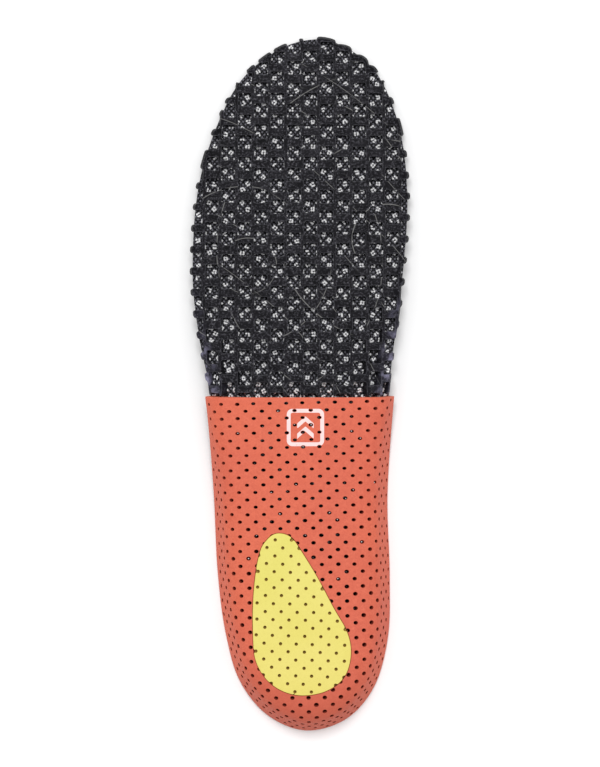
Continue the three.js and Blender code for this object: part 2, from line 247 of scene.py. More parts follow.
class Footprint:
    """The outline and the flank's sections all round it. A sheet is drawn flattened: level ground as it
    lies, and each flank swung out to its full length. under() and foot() fold it into place."""

    def __init__(self):
        loop = smooth_loop(outline_in_metres(), STATIONS)
        tangent = np.roll(loop, -1, axis=0) - np.roll(loop, 1, axis=0)
        tangent /= np.linalg.norm(tangent, axis=1)[:, None]
        self.edge = loop
        self.inward = np.column_stack([-tangent[:, 1], tangent[:, 0]])
        y = loop[:, 1] - HEEL_Y
        inner = loop[:, 0] > 0
        start = np.where(inner, INNER_CUP_LENGTH, OUTER_CUP_LENGTH)
        end = np.where(inner, INNER_FLANK_END, OUTER_FLANK_END)
        drop = mix(CUP_DEPTH, EDGE_DROP, smoothstep(y, start, end))
        angle, run, length = section(drop, UNDERSIDE_RADIUS)
        forward = smoothstep(y, ARCH_START, INNER_FLANK_END)
        rim = mix(SHELL_RIM, FOREFOOT_RIM, forward)
        cut = mix(angle, 0, forward)
        depth = floor_thickness(y)
        foot_angle, foot_run, foot_length = section(drop + rim * np.cos(cut) - depth, FOOT_RADIUS)
        inset = rim * np.sin(cut)
        self.sizes = {
            "angle": angle, "run": run, "length": length, "foot_angle": foot_angle,
            "foot_run": foot_run, "foot_length": foot_length, "inset": inset, "depth": depth,
            "stretch": (foot_length + FLANK_REACH - inset - foot_run) / (length + FLANK_REACH - run),
        }
        self.flat_edge = self.edge + self.inward * run[:, None]
        self.outline = self.flat_edge - self.inward * length[:, None]
        self.tree = tree_of(self.flat_edge)
        toe = int(np.argmax(loop[:, 1]))
        toe_slope, _, toe_fall = section_point(
            foot_length[toe] - COVER_SETBACK, foot_angle[toe], FOOT_RADIUS
        )
        toe_below = depth[toe] + toe_fall + COVER_BOTTOM * np.cos(toe_slope)
        self.bend = (UNDERSIDE_Z - toe_below) / (LENGTH - COVER_SETBACK - ARCH_START) ** 2

    def height(self, y):
        """The underside's level, which bends down from the arch to the toes."""
        return UNDERSIDE_Z - self.bend * np.maximum(0, y - HEEL_Y - ARCH_START) ** 2

    def locate(self, sheet):
        """Where points of the flattened sheet are: the sizes of the flank there, and the way to the rim."""
        sheet = np.asarray(sheet, float)
        k = nearest(sheet, self.tree)[0]
        n = len(self.edge)

        def side(j):
            """On which side of station j's section the points are, and how far."""
            away = sheet - self.flat_edge[j]
            return away[:, 0] * self.inward[j, 1] - away[:, 1] * self.inward[j, 0]

        for _ in range(STATION_MOVES):
            here, after, before = side(k), side((k + 1) % n), side((k - 1) % n)
            apart = (np.sign(here) == np.sign(after)) & (np.sign(here) == np.sign(before))
            k = (k + apart * np.where(np.abs(after) < np.abs(before), 1, -1)) % n
        here, after, before = side(k), side((k + 1) % n), side((k - 1) % n)
        forward = np.sign(here) != np.sign(after)
        low = np.where(forward, k, (k - 1) % n)
        high = (low + 1) % n
        first, second = np.where(forward, here, before), np.where(forward, after, here)
        t = np.clip(first / np.where(first == second, 1, first - second), 0, 1)
        at = {name: mix(v[low], v[high], t) for name, v in self.sizes.items()}
        t = t[:, None]
        at["edge"] = mix(self.edge[low], self.edge[high], t)
        at["inward"] = mix(self.inward[low], self.inward[high], t)
        flat_edge = mix(self.flat_edge[low], self.flat_edge[high], t)
        outward = -np.einsum("ij,ij->i", sheet - flat_edge, at["inward"])
        at["from_rim"] = at["length"] - outward
        at["sheet"] = sheet
        return at

    def under(self, at, offset):
        """Points of the underside, or of a face that lies offset below it, square to the surface."""
        distance = at["length"] - at["from_rim"]
        slope, run, fall = section_point(np.maximum(distance, 0), at["angle"], UNDERSIDE_RADIUS)
        inset = at["run"] - run + offset * np.sin(slope)
        flank = at["edge"] + at["inward"] * inset[:, None]
        plan = np.where((distance > 0)[:, None], flank, at["sheet"])
        return np.column_stack([plan, self.height(plan[:, 1]) - fall - offset * np.cos(slope)])

    def foot(self, at, offset):
        """Points of the shell's foot side, or of a face that lies offset beyond it, towards the foot."""
        level = at["length"] + FLANK_REACH - at["run"]
        distance = at["foot_length"] - at["from_rim"] * at["stretch"]
        slope, run, fall = section_point(np.maximum(distance, 0), at["foot_angle"], FOOT_RADIUS)
        inset = at["inset"] + at["foot_run"] - run + offset * np.sin(slope) - np.minimum(distance, 0)
        flank = at["edge"] + at["inward"] * inset[:, None]
        inside = at["from_rim"] >= level
        plan = np.where(inside[:, None], at["sheet"], flank)
        fall = np.where(inside, 0, fall)
        depth = np.where(inside, floor_thickness(plan[:, 1] - HEEL_Y), at["depth"])
        below = depth + fall + offset * np.cos(np.where(inside, 0, slope))
        return np.column_stack([plan, self.height(plan[:, 1]) - below])


def outline_in_metres():
    reach = [x for x, _ in OUTLINE]
    scale = WIDTH / (max(reach) - min(reach))
    middle = (max(reach) + min(reach)) / 2
    return [((x - middle) * scale, HEEL_Y + y * LENGTH) for x, y in OUTLINE]


def tree_of(centres):
    tree = KDTree(len(centres))
    for i, (x, y) in enumerate(centres.tolist()):
        tree.insert((x, y, 0), i)
    tree.balance()
    return tree


def nearest(points, tree):
    """The nearest of a tree's centres to each point, and its distance."""
    found = [tree.find((x, y, 0)) for x, y in points.tolist()]
    return np.array([f[1] for f in found]), np.array([f[2] for f in found])


# ---- Plan fields: distances in the flattened sheet, negative inside ----

def loop_field(loop):
    """The signed distance from a closed, anticlockwise, finely divided loop."""
    tree = tree_of(loop)
    n = len(loop)
    way = np.roll(loop, -1, axis=0) - loop
    squared = np.einsum("ij,ij->i", way, way)

    def field(points):
        k = nearest(points, tree)[0]
        best = np.full(len(points), np.inf)
        signed = np.empty(len(points))
        for j in (k, (k - 1) % n):
            from_start = points - loop[j]
            t = np.clip(np.einsum("ij,ij->i", from_start, way[j]) / squared[j], 0, 1)
            away = from_start - way[j] * t[:, None]
            distance = np.linalg.norm(away, axis=1)
            side = way[j][:, 0] * from_start[:, 1] - way[j][:, 1] * from_start[:, 0]
            nearer = distance < best
            best = np.where(nearer, distance, best)
            signed = np.where(nearer, np.where(side > 0, -distance, distance), signed)
        return signed

    return field


def polygon_field(loop):
    """The signed distance from a polygon with few sides."""
    start, end = loop, np.roll(loop, -1, axis=0)
    way = end - start
    squared = np.einsum("ij,ij->i", way, way)

    def field(points):
        p = points[:, None]
        t = np.clip(np.einsum("ijk,jk->ij", p - start, way) / squared, 0, 1)
        away = p - (start + way * t[..., None])
        near = np.sqrt(np.einsum("ijk,ijk->ij", away, away).min(1))
        above = (start[:, 1] > p[..., 1]) != (end[:, 1] > p[..., 1])
        rise = np.where(way[:, 1] == 0, 1, way[:, 1])
        crossing = start[:, 0] + (p[..., 1] - start[:, 1]) / rise * way[:, 0]
        inside = (above & (p[..., 0] < crossing)).sum(1) % 2 == 1
        return np.where(inside, -near, near)

    return field


def round_holes(centres, radius):
    tree = tree_of(centres)
    return lambda points: nearest(points, tree)[1] - radius


def rounded_box(away, half, corner):
    """The signed distance from a rounded rectangle to points that lie away from its middle."""
    q = np.abs(away) - (half - corner)
    return np.linalg.norm(np.maximum(q, 0), axis=1) + np.minimum(q.max(1), 0) - corner


def rounded_cells(centres, half):
    tree = tree_of(centres)

    def field(points):
        k = nearest(points, tree)[0]
        return rounded_box(points - centres[k], half[k], CELL_CORNER)
    return field


def without(body, *cuts, blend):
    """body less the cuts, with the corners between them rounded over a length blend."""
    def field(points):
        value = body(points)
        for cut in cuts:
            other = -cut(points)
            h = np.maximum(blend - np.abs(value - other), 0) / blend
            value = np.maximum(value, other) + h * h * blend / 4
        return value
    return field


def behind(y):
    """Everything nearer the heel than y."""
    return lambda points: points[:, 1] - y


def ahead(y):
    return lambda points: y - points[:, 1]


# ---- Plates cut from a field ----

def slope_of(field, points, step=0.00002):
    """The unit direction in which a field grows fastest."""
    x, y = np.array([step, 0]), np.array([0, step])
    grown = np.column_stack([
        field(points + x) - field(points - x), field(points + y) - field(points - y),
    ])
    return grown / np.maximum(np.linalg.norm(grown, axis=1), 1e-12)[:, None]


def contours(field, level, low, high, step):
    """Closed loops where the field has a level, by marching squares."""
    xs = np.arange(low[0], high[0] + step, step)
    ys = np.arange(low[1], high[1] + step, step)
    grid_x, grid_y = np.meshgrid(xs, ys, indexing="ij")
    points = np.column_stack([grid_x.ravel(), grid_y.ravel()])
    values = (field(points) - level).reshape(grid_x.shape)
    inside = values < 0
    places, follows = {}, {}

    def crossing(i, j, across):
        key = (i, j, across)
        if key not in places:
            a, b = values[i, j], values[(i + 1, j) if across else (i, j + 1)]
            t = a / (a - b)
            places[key] = (xs[i] + step * t * across, ys[j] + step * t * (not across))
        return key

    corners = inside[:-1, :-1] + 2 * inside[1:, :-1] + 4 * inside[1:, 1:] + 8 * inside[:-1, 1:]
    for i, j in np.argwhere((corners > 0) & (corners < 15)):
        sides = (
            (i, j, True), (i + 1, j, False), (i, j + 1, True), (i, j, False)
        )
        for start, end in SQUARES[corners[i, j]]:
            follows[crossing(*sides[start])] = crossing(*sides[end])
    loops = []
    while follows:
        start, key = follows.popitem()
        loop = [start]
        while key != start:
            loop.append(key)
            key = follows.pop(key)
        loops.append(np.array([places[k] for k in loop]))
    return loops


# For each pattern of inside corners of a square, the sides that the contour enters and leaves by, with the
# inside on its left. Sides: 0 bottom, 1 right, 2 top, 3 left.
SQUARES = {
    1: [(0, 3)], 2: [(1, 0)], 3: [(1, 3)], 4: [(2, 1)], 5: [(0, 3), (2, 1)], 6: [(2, 0)], 7: [(2, 3)],
    8: [(3, 2)], 9: [(0, 2)], 10: [(1, 0), (3, 2)], 11: [(1, 2)], 12: [(3, 1)], 13: [(0, 1)], 14: [(3, 0)],
}


def evenly(loop, spacing, fewest=8):
    """A closed loop at places about spacing apart."""
    length = np.cumsum(np.linalg.norm(loop - np.roll(loop, -1, axis=0), axis=1))[-1]
    return along_loop(loop, max(fewest, round(length / spacing)))


def settle(field, level, points):
    """Moves points on to a level of the field, except those that would stray to another edge."""
    start = points
    for _ in range(3):
        points = points - slope_of(field, points) * (field(points) - level)[:, None]
    strayed = np.linalg.norm(points - start, axis=1) > STRAY
    return np.where(strayed[:, None], start, points)


def hex_points(low, high, pitch):
    """A triangular grid of points that fills a box."""
    rows = []
    for k, y in enumerate(np.arange(low[1], high[1], pitch * math.sqrt(3) / 2)):
        xs = np.arange(low[0] + (k % 2) * pitch / 2, high[0], pitch)
        rows.append(np.column_stack([xs, np.full(len(xs), y)]))
    return np.vstack(rows)


def regions(triangles, walls=()):
    """A number for each triangle, shared by all that it joins side to side with no wall between them."""
    parent = list(range(len(triangles)))

    def top_of(i):
        while parent[i] != i:
            parent[i] = parent[parent[i]]
            i = parent[i]
        return i

    first = {}
    for i, (a, b, c) in enumerate(triangles.tolist()):
        for pair in ((a, b), (b, c), (c, a)):
            pair = min(pair), max(pair)
            if pair not in walls:
                parent[top_of(first.setdefault(pair, i))] = top_of(i)
    return np.unique([top_of(i) for i in range(len(triangles))], return_inverse=True)[1]


def cut_out(field, level, plan, edges):
    """The triangles of a plan's points that lie inside a level of the field: one connected sheet."""
    plan = [Vector(p * MILLIMETRES) for p in plan]
    made, sides, triangles, _, origins, _ = delaunay_2d_cdt(plan, edges, [], 0, TOLERANCE, True)
    points = np.array([(v.x, v.y) for v in made]) / MILLIMETRES
    triangles = np.array(triangles)
    walls = {(min(side), max(side)) for side, origin in zip(sides, origins) if origin}
    region = regions(triangles, walls)
    corner = points[triangles]
    first, second = corner[:, 1] - corner[:, 0], corner[:, 2] - corner[:, 0]
    area = np.abs(first[:, 0] * second[:, 1] - first[:, 1] * second[:, 0]) / 2
    whole = np.bincount(region, area)
    inside = np.bincount(region, area * (field(corner.mean(1)) < level)) > whole / 2
    triangles = triangles[(inside | (whole < SLIVER))[region]]
    region = regions(triangles)
    triangles = triangles[region == np.bincount(region).argmax()]
    used, renumbered = np.unique(triangles, return_inverse=True)
    return points[used], renumbered.reshape(-1, 3)


def plate(field, box, top, bottom, bevel, fill_pitch, spacing, marks=(), step=0.0004, bevel_steps=3):
    """A closed plate with the plan of a field. top(points, depth) and bottom(points) place its faces,
    depth being how far a row of the rounded upper edge lies below the top. marks are extra loops in the
    top face. Returns vertices, faces, the middles of the top faces, and for each vertex its place in plan
    and its level: 0 on top, up to 1 down the rounded edge, 2 at the wall's foot and 3 underneath."""
    low, high = box
    loops = [
        settle(field, -bevel, evenly(loop, spacing))
        for loop in contours(field, -bevel, low, high, step)
    ]
    fill = hex_points(low, high, fill_pitch)
    fill = fill[field(fill) < -bevel - FILL_MARGIN * fill_pitch]
    plan, edges = [], []
    for loop in [*loops, *marks]:
        start, n = sum(map(len, plan)), len(loop)
        plan.append(loop)
        edges += [(start + i, start + (i + 1) % n) for i in range(n)]
    points, triangles = cut_out(field, -bevel, np.vstack([*plan, fill]), edges)
    sides = np.vstack([triangles[:, [0, 1]], triangles[:, [1, 2]], triangles[:, [2, 0]]])
    known = {tuple(s) for s in sides}
    rim = np.array([s for s in sides if (s[1], s[0]) not in known])
    edge_ids = np.unique(rim)
    row_of = {int(v): i for i, v in enumerate(edge_ids)}
    outward = slope_of(field, points[edge_ids])

    vertices = [top(points, np.zeros(len(points)))]
    places, levels, rows = [points], [np.zeros(len(points))], [edge_ids]

    def add(at, placed, level, ids):
        """More vertices, at one level. ids are those of them that are the next row down the edge."""
        rows.append(ids + sum(map(len, vertices)))
        vertices.append(placed)
        places.append(at)
        levels.append(np.full(len(at), float(level)))

    in_order = np.arange(len(edge_ids))
    for k in range(1, bevel_steps + 1):
        turn = k / bevel_steps * math.pi / 2
        ring = points[edge_ids] + outward * bevel * math.sin(turn)
        depth = np.full(len(ring), bevel * (1 - math.cos(turn)))
        add(ring, top(ring, depth), k / bevel_steps, in_order)
    add(ring, bottom(ring), 2, in_order)
    underneath = sum(map(len, vertices))
    add(points, bottom(points), 3, edge_ids)
    faces = [tuple(t) for t in triangles] + [tuple(t[::-1] + underneath) for t in triangles]
    pairs = [(row_of[int(a)], row_of[int(b)]) for a, b in rim]
    for upper, lower in zip(rows[:-1], rows[1:]):
        faces += [(lower[a], lower[b], upper[b], upper[a]) for a, b in pairs]
    middles = points[triangles].mean(1)
    return np.vstack(vertices), faces, middles, np.vstack(places), np.concatenate(levels)


# ---- Objects ----

def build(name, vertices, faces, materials, indices=None, sharp=math.radians(50), shades=None):
    """An object from a mesh. shades are numbers for each vertex that its material reads by name."""
    mesh = bpy.data.meshes.new(name)
    mesh.from_pydata([tuple(map(float, v)) for v in vertices], [], [tuple(map(int, f)) for f in faces])
    for material in materials:
        mesh.materials.append(material)
    if indices is not None:
        mesh.polygons.foreach_set("material_index", np.asarray(indices, np.int32))
    for key, values in (shades or {}).items():
        mesh.attributes.new(key, "FLOAT", "POINT").data.foreach_set("value", np.asarray(values, np.float32))
    mesh.shade_smooth()
    mesh.set_sharp_from_angle(angle=sharp)
    made = bpy.data.objects.new(name, mesh)
    bpy.context.scene.collection.objects.link(made)
    even = made.modifiers.new("even_shading", "WEIGHTED_NORMAL")
    even.keep_sharp = True
    even.weight = 100
    return made


def carry(made, node):
    """The piece moves with the insole's one body, and may stand for a CAD node, which it hides."""
    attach(made, "root")
    if node:
        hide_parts(node)
    return made


# ---- Materials ----

def srgb(red, green, blue):
    """A linear colour that looks like the usual 0 to 255 numbers in the studio's light."""
    parts = [c / 255 for c in (red, green, blue)]
    linear = [c / 12.92 if c <= 0.04045 else ((c + 0.055) / 1.055) ** 2.4 for c in parts]
    return (*[c / STUDIO_LIGHT for c in linear], 1)


class Look:
    """A material on one Principled shader, with short ways to add the nodes that drive it."""

    def __init__(self, name):
        self.material = bpy.data.materials.new(name)
        self.material.use_nodes = True
        self.tree = self.material.node_tree
        self.shader = self.tree.nodes["Principled BSDF"]
        self.place = self.node("ShaderNodeTexCoord").outputs["Object"]

    def node(self, kind, inputs=(), **settings):
        made = self.tree.nodes.new(kind)
        for key, value in settings.items():
            setattr(made, key, value)
        for key, value in dict(inputs).items():
            self.feed(made.inputs[key], value)
        return made

    def feed(self, socket, value):
        if isinstance(value, bpy.types.NodeSocket):
            self.tree.links.new(value, socket)
        else:
            socket.default_value = value

    def set(self, **inputs):
        for key, value in inputs.items():
            self.feed(self.shader.inputs[key.replace("_", " ")], value)

    def noise(self, scale, detail=3, roughness=0.55, place=None):
        return self.node("ShaderNodeTexNoise", {
            "Vector": place or self.place, "Scale": scale, "Detail": detail, "Roughness": roughness,
        }).outputs["Fac"]

    def pores(self, scale):
        return self.node("ShaderNodeTexVoronoi", {
            "Vector": self.place, "Scale": scale,
        }).outputs["Distance"]

    def moved(self, rotation=(0, 0, 0), scale=(1, 1, 1)):
        return self.node("ShaderNodeMapping", {
            "Vector": self.place, "Rotation": rotation, "Scale": scale,
        }).outputs["Vector"]

    def wave(self, place, scale, distortion, detail, **settings):
        return self.node("ShaderNodeTexWave", {
            "Vector": place, "Scale": scale, "Distortion": distortion, "Detail": detail, "Detail Scale": 1.2,
        }, **settings).outputs["Fac"]

    def rings(self, scale, centre):
        """Uneven rings round an upright line through centre."""
        x, y = centre
        moved = self.node("ShaderNodeMapping", {"Vector": self.place, "Location": (-x, -y, 0)})
        return self.wave(
            moved.outputs["Vector"], scale, 1.2, 1,
            wave_type="RINGS", rings_direction="Z", wave_profile="TRI",
        )

    def remap(self, value, low, high, to_low=0, to_high=1):
        return self.node("ShaderNodeMapRange", {
            "Value": value, "From Min": low, "From Max": high, "To Min": to_low, "To Max": to_high,
        }).outputs["Result"]

    def math(self, operation, a, b):
        made = self.node("ShaderNodeMath", operation=operation)
        self.feed(made.inputs[0], a)
        self.feed(made.inputs[1], b)
        return made.outputs[0]

    def blend(self, factor, a, b):
        made = self.node("ShaderNodeMix", data_type="RGBA")
        self.feed(made.inputs["Factor"], factor)
        self.feed(made.inputs[6], a)
        self.feed(made.inputs[7], b)
        return made.outputs[2]

    def attribute(self, name):
        """One of the mesh's own shades."""
        return self.node("ShaderNodeAttribute", attribute_name=name).outputs["Fac"]

    def bump(self, *layers):
        """Layers of (height, distance in metres, strength), the coarsest first."""
        normal = None
        for height, distance, strength in layers:
            made = self.node("ShaderNodeBump", {
                "Height": height, "Distance": distance, "Strength": strength,
            })
            if normal:
                self.feed(made.inputs["Normal"], normal)
            normal = made.outputs["Normal"]
        self.feed(self.shader.inputs["Normal"], normal)


# The y between which painted shade darkens the shell to the heel's back, and the pad's yellow warms to its
# tip
SHELL_PAINTED_SHADE = (-0.105, -0.135)
PAD_FADE = (-0.11, -0.065)


def coral_foam():
    look = Look("coral_foam")
    along = look.node("ShaderNodeSeparateXYZ", {"Vector": look.place}).outputs["Y"]
    cloud = look.noise(28, 4)
    mottle = look.noise(420, 3)
    fine = look.noise(1500, 2)
    pores = look.pores(2600)
    body = look.blend(look.remap(cloud, 0.35, 0.65), srgb(223, 106, 76), srgb(214, 99, 75))
    body = look.blend(look.remap(mottle, 0.3, 0.75, 0, 0.55), body, srgb(236, 124, 98))
    body = look.blend(look.remap(fine, 0.3, 0.65, 0.42, 0), body, srgb(192, 86, 66))
    pitted = look.math("LESS_THAN", pores, 0.16)
    body = look.blend(look.math("MULTIPLY", pitted, 0.35), body, srgb(170, 64, 48))
    # Painted shade: the shell darkens towards the heel's back
    body = look.blend(look.remap(along, *SHELL_PAINTED_SHADE, 0, 0.75), body, srgb(190, 88, 66))
    # Painted highlight: the rounded rim is lighter, as if lit
    body = look.blend(look.math("MULTIPLY", look.attribute("edge"), 0.3), body, srgb(242, 146, 118))
    # Painted shade: darker down the holes' walls
    body = look.blend(look.remap(look.attribute("wall"), 0, 0.8), body, srgb(112, 30, 20))
    look.set(
        Base_Color=body,
        Roughness=look.remap(mottle, 0.25, 0.75, 0.6, 0.76),
        Specular_IOR_Level=0.3,
    )
    look.bump((look.noise(60, 2), 0.0005, 0.12), (mottle, 0.00025, 0.25), (pores, 0.00008, 0.35))
    return look.material


def print_ink():
    look = Look("print_ink")
    wear = look.noise(900, 4, 0.7)
    worn = look.remap(wear, 0.62, 0.7)
    tint = look.blend(look.noise(200, 3), srgb(250, 228, 226), srgb(240, 208, 206))
    look.set(
        Base_Color=look.blend(worn, tint, srgb(230, 140, 120)),
        Roughness=look.remap(wear, 0.3, 0.7, 0.42, 0.62),
    )
    look.bump((wear, 0.00012, 0.3), (look.pores(2600), 0.00006, 0.3))
    return look.material


def yellow_foam():
    look = Look("yellow_foam")
    along = look.node("ShaderNodeSeparateXYZ", {"Vector": look.place}).outputs["Y"]
    cloud = look.noise(45, 3)
    grain = look.noise(900, 3)
    pores = look.pores(2200)
    body = look.blend(look.remap(along, *PAD_FADE), srgb(234, 220, 116), srgb(228, 220, 112))
    body = look.blend(look.remap(cloud, 0.35, 0.7, 0, 0.4), body, srgb(243, 230, 138))
    body = look.blend(look.remap(grain, 0.35, 0.7, 0.22, 0), body, srgb(218, 202, 96))
    pitted = look.math("LESS_THAN", pores, 0.17)
    body = look.blend(look.math("MULTIPLY", pitted, 0.4), body, srgb(196, 178, 84))
    # Painted shade: the pad's rounded rim and side darken to orange-brown, as in the gap round it
    body = look.blend(look.math("MULTIPLY", look.attribute("edge"), 0.75), body, srgb(212, 132, 56))
    # Painted shade: darker down the holes' walls and on the base at their bottoms
    body = look.blend(look.remap(look.attribute("wall"), 0, 0.7), body, srgb(176, 122, 8))
    look.set(
        Base_Color=body,
        Roughness=look.remap(grain, 0.3, 0.7, 0.66, 0.82),
        Specular_IOR_Level=0.3,
    )
    look.bump((cloud, 0.0004, 0.15), (grain, 0.00018, 0.3), (pores, 0.00009, 0.4))
    return look.material


# Scratches are thin rings, of which noise keeps a few stretches: ring scale, centre and noise scale
SCRATCHES = ((15, (-0.02, 0.045), 40), (12, (0.034, 0.055), 52), (19, (-0.11, -0.07), 63))


def black_foam():
    look = Look("black_foam")
    cloud = look.noise(140, 3)
    speckle = look.noise(1250, 3, 0.75)
    grain = look.noise(2600, 3)
    pores = look.pores(1500)
    scratch = 0
    for ring_scale, centre, patch_scale in SCRATCHES:
        line = look.remap(look.rings(ring_scale, centre), 0.982, 0.992)
        kept = look.remap(look.noise(patch_scale, 2), 0.5, 0.58)
        scratch = look.math("MAXIMUM", look.math("MULTIPLY", line, kept), scratch)
    painted_sheen = look.remap(look.noise(190, 3, 0.6), 0.48, 0.62, 0.1, 1)
    body = look.blend(look.remap(cloud, 0.3, 0.7), srgb(12, 12, 15), srgb(23, 22, 27))
    body = look.blend(look.remap(speckle, 0.52, 0.66, 0, 0.65), body, srgb(96, 95, 102))
    # Painted highlight: the cells' rounded edges are lighter
    body = look.blend(look.math("MULTIPLY", look.attribute("edge"), 0.35), body, srgb(104, 103, 110))
    # Painted sheen: pale lavender patches on the steep flanks near the shell
    body = look.blend(look.math("MULTIPLY", look.attribute("flank"), painted_sheen), body, srgb(142, 139, 164))
    body = look.blend(look.math("MULTIPLY", scratch, 0.55), body, srgb(150, 149, 147))
    # Painted shade: darker down the cells' walls
    body = look.blend(look.math("MULTIPLY", look.attribute("wall"), 0.6), body, srgb(12, 12, 14))
    look.set(
        Base_Color=body,
        Roughness=look.remap(cloud, 0.3, 0.7, 0.6, 0.48),
        Specular_IOR_Level=0.06,
    )
    look.bump(
        (look.noise(320, 2), 0.0004, 0.22), (scratch, 0.0002, 0.5), (grain, 0.00006, 0.35),
        (pores, 0.00006, 0.2),
    )
    return look.material


def black_mesh():
    look = Look("black_mesh")
    first, second = (look.wave(look.moved((0, 0, turn)), 230, 0.8, 2) for turn in (0.73, -0.73))
    knit = look.math("MULTIPLY", first, second)
    fuzz = look.noise(3500, 2)
    body = look.blend(look.remap(knit, 0.3, 0.7), srgb(3, 3, 4), srgb(116, 115, 124))
    body = look.blend(look.remap(fuzz, 0.52, 0.7, 0, 0.6), body, srgb(150, 150, 158))
    look.set(
        Base_Color=body,
        Roughness=look.remap(fuzz, 0.3, 0.7, 0.8, 0.95),
        Specular_IOR_Level=0.08,
        Sheen_Weight=0.03,
        Sheen_Roughness=0.5,
    )
    look.bump((knit, 0.0003, 0.7), (fuzz, 0.00008, 0.5))
    return look.material


def white_yarn():
    look = Look("white_yarn")
    strands = look.noise(4200, 2, place=look.moved((0, 0, 0.5), (1, 0.3, 1)))
    look.set(
        Base_Color=look.blend(look.remap(strands, 0.3, 0.7), (0.9, 0.9, 0.93, 1), (1, 1, 1, 1)),
        Roughness=look.remap(strands, 0.3, 0.7, 0.55, 0.75),
        Sheen_Weight=0.2,
    )
    look.bump((strands, 0.00008, 0.6))
    return look.material


# ---- The insole ----

base = Footprint()
outline_field = loop_field(base.outline)


def common(first, second):
    """The field of what lies inside two fields."""
    return lambda points: np.maximum(first(points), second(points))


def pattern(anchor, pitch, tilt, low, high, columns=60, rows=110):
    """Points of a staggered pattern in a box, with one of them on the anchor. columns and rows are how
    many are tried on each side of it."""
    i, j = np.meshgrid(np.arange(-columns, columns + 1), np.arange(-rows, rows + 1), indexing="ij")
    x = (i + 0.5 * (j % 2)) * pitch[0]
    y = j * pitch[1]
    turned = np.column_stack([
        (x * math.cos(tilt) - y * math.sin(tilt)).ravel() + anchor[0],
        (x * math.sin(tilt) + y * math.cos(tilt)).ravel() + anchor[1],
    ])
    inside = ((turned > low) & (turned < high)).all(1)
    return turned[inside]


def pad_outline(nearest_points=0.0006, count=260):
    """The CAD pad's outline from above, made smooth and trimmed."""
    plan = np.unique(np.round([v.co[:2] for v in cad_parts["heel_pad"].data.vertices], 5), axis=0)
    hull = plan[convex_hull_2d([Vector(p * MILLIMETRES) for p in plan])]
    apart = np.linalg.norm(hull - np.roll(hull, 1, axis=0), axis=1) > nearest_points
    loop = smooth_loop(hull[apart], count)
    from_heel = loop[:, 1] - HEEL_Y
    aside = loop[:, 0] - np.interp(from_heel, PAD_AXIS_ENDS, PAD_AXIS_X)
    for side, middle, spread, shift in PAD_TRIM:
        share = np.clip(side * aside / PAD_TRIM_REACH, 0, 1)
        loop[:, 0] += shift * (share * np.exp(-((from_heel - middle) / spread) ** 2))
    return loop


pad_loop = pad_outline()
pad_field = loop_field(pad_loop)


def chevron(middle, half_width, rise, stroke):
    x, y = middle
    return np.array([
        (x - half_width, y - rise), (x - half_width, y - rise - stroke), (x, y - stroke),
        (x + half_width, y - rise - stroke), (x + half_width, y - rise), (x, y),
    ])


def mark_field(points):
    square = rounded_box(points - MARK_CENTRE, MARK_HALF, MARK_CORNER)
    ring = np.abs(square + MARK_STROKE / 2) - MARK_STROKE / 2
    arrows = [
        polygon_field(chevron(MARK_CENTRE + (0, up), **CHEVRON))(points) - CHEVRON_GROWTH
        for up in CHEVRON_TIPS
    ]
    return np.minimum(ring, np.minimum(*arrows))


def oval_holes(centres):
    """The shell's punched holes: wider across, and rounder and larger towards the heel."""
    back = smoothstep(centres[:, 1] - HEEL_Y, *HOLES_GROW)
    half = np.column_stack([mix(a, b, back) for a, b in zip(FRONT_HOLE, BACK_HOLE)])
    half *= rng.uniform(0.92, 1.06, (len(centres), 1))
    tree = tree_of(centres)

    def field(points):
        k = nearest(points, tree)[0]
        away = (points - centres[k]) / half[k]
        return (np.linalg.norm(away, axis=1) - 1) * half[k].min(1)
    return field


def shell_hole_centres():
    centres = pattern(SHELL_HOLE_ANCHOR, SHELL_HOLE_PITCH, SHELL_HOLE_TILT, *SHELL_BOX)
    centres = centres + rng.normal(0, SHELL_HOLE_SCATTER, centres.shape)
    inland = (outline_field(centres) < -SIDE_MARGIN) & (centres[:, 1] < SHELL_FRONT - FRONT_MARGIN)
    return centres[inland]


# The flattened flanks reach this far out of the insole.
SWUNG_OUT = 0.014
SHELL_BOX = (
    np.array([CAD_LOW.x, HEEL_Y]) - SWUNG_OUT,
    np.array([CAD_HIGH.x + SWUNG_OUT, SHELL_FRONT + 0.002]),
)
shell_holes = shell_hole_centres()


def onto_foot(depth):
    """Places points on a face that lies depth beyond the foot side of the foam."""
    return lambda points, further=0: base.foot(base.locate(points), depth + further)


def shell():
    """The coral cup, with its holes, the pad's recess and the face of the printed mark."""
    holes = oval_holes(shell_holes)
    body = common(outline_field, behind(SHELL_FRONT))

    def top(points, depth):
        in_recess = pad_field(points) < PAD_GAP + RECESS_WALL / 2
        return base.under(base.locate(points), depth + in_recess * (PAD_DEPTH + RECESS_CLEARANCE))

    marks = [
        settle(pad_field, grow, evenly(pad_loop, 0.0008)) for grow in (PAD_GAP, PAD_GAP + RECESS_WALL)
    ]
    printed = contours(mark_field, 0, MARK_CENTRE - MARK_REACH, MARK_CENTRE + MARK_REACH, 0.00025)
    marks += [evenly(loop, 0.0003) for loop in printed]
    vertices, faces, middles, places, levels = plate(
        common(body, lambda points: -holes(points)), SHELL_BOX, top, onto_foot(0),
        bevel=0.00014, fill_pitch=0.0022, spacing=0.00036, marks=marks, step=0.0003,
    )
    indices = np.zeros(len(faces), int)
    indices[:len(middles)] = mark_field(middles) < 0
    in_hole = (levels > 0) & (levels < 3) & (holes(places) < 0.0001)
    shades = {
        # painted shade, darker down the holes' walls
        "wall": np.clip(levels, 0, 2) / 2 * in_hole,
        # painted highlight on the rounded rim, outside the holes
        "edge": (levels > 0) * (levels <= 1) * ~in_hole,
    }
    return build("heel_shell.foam", vertices, faces, [coral_foam(), print_ink()], indices, shades=shades)


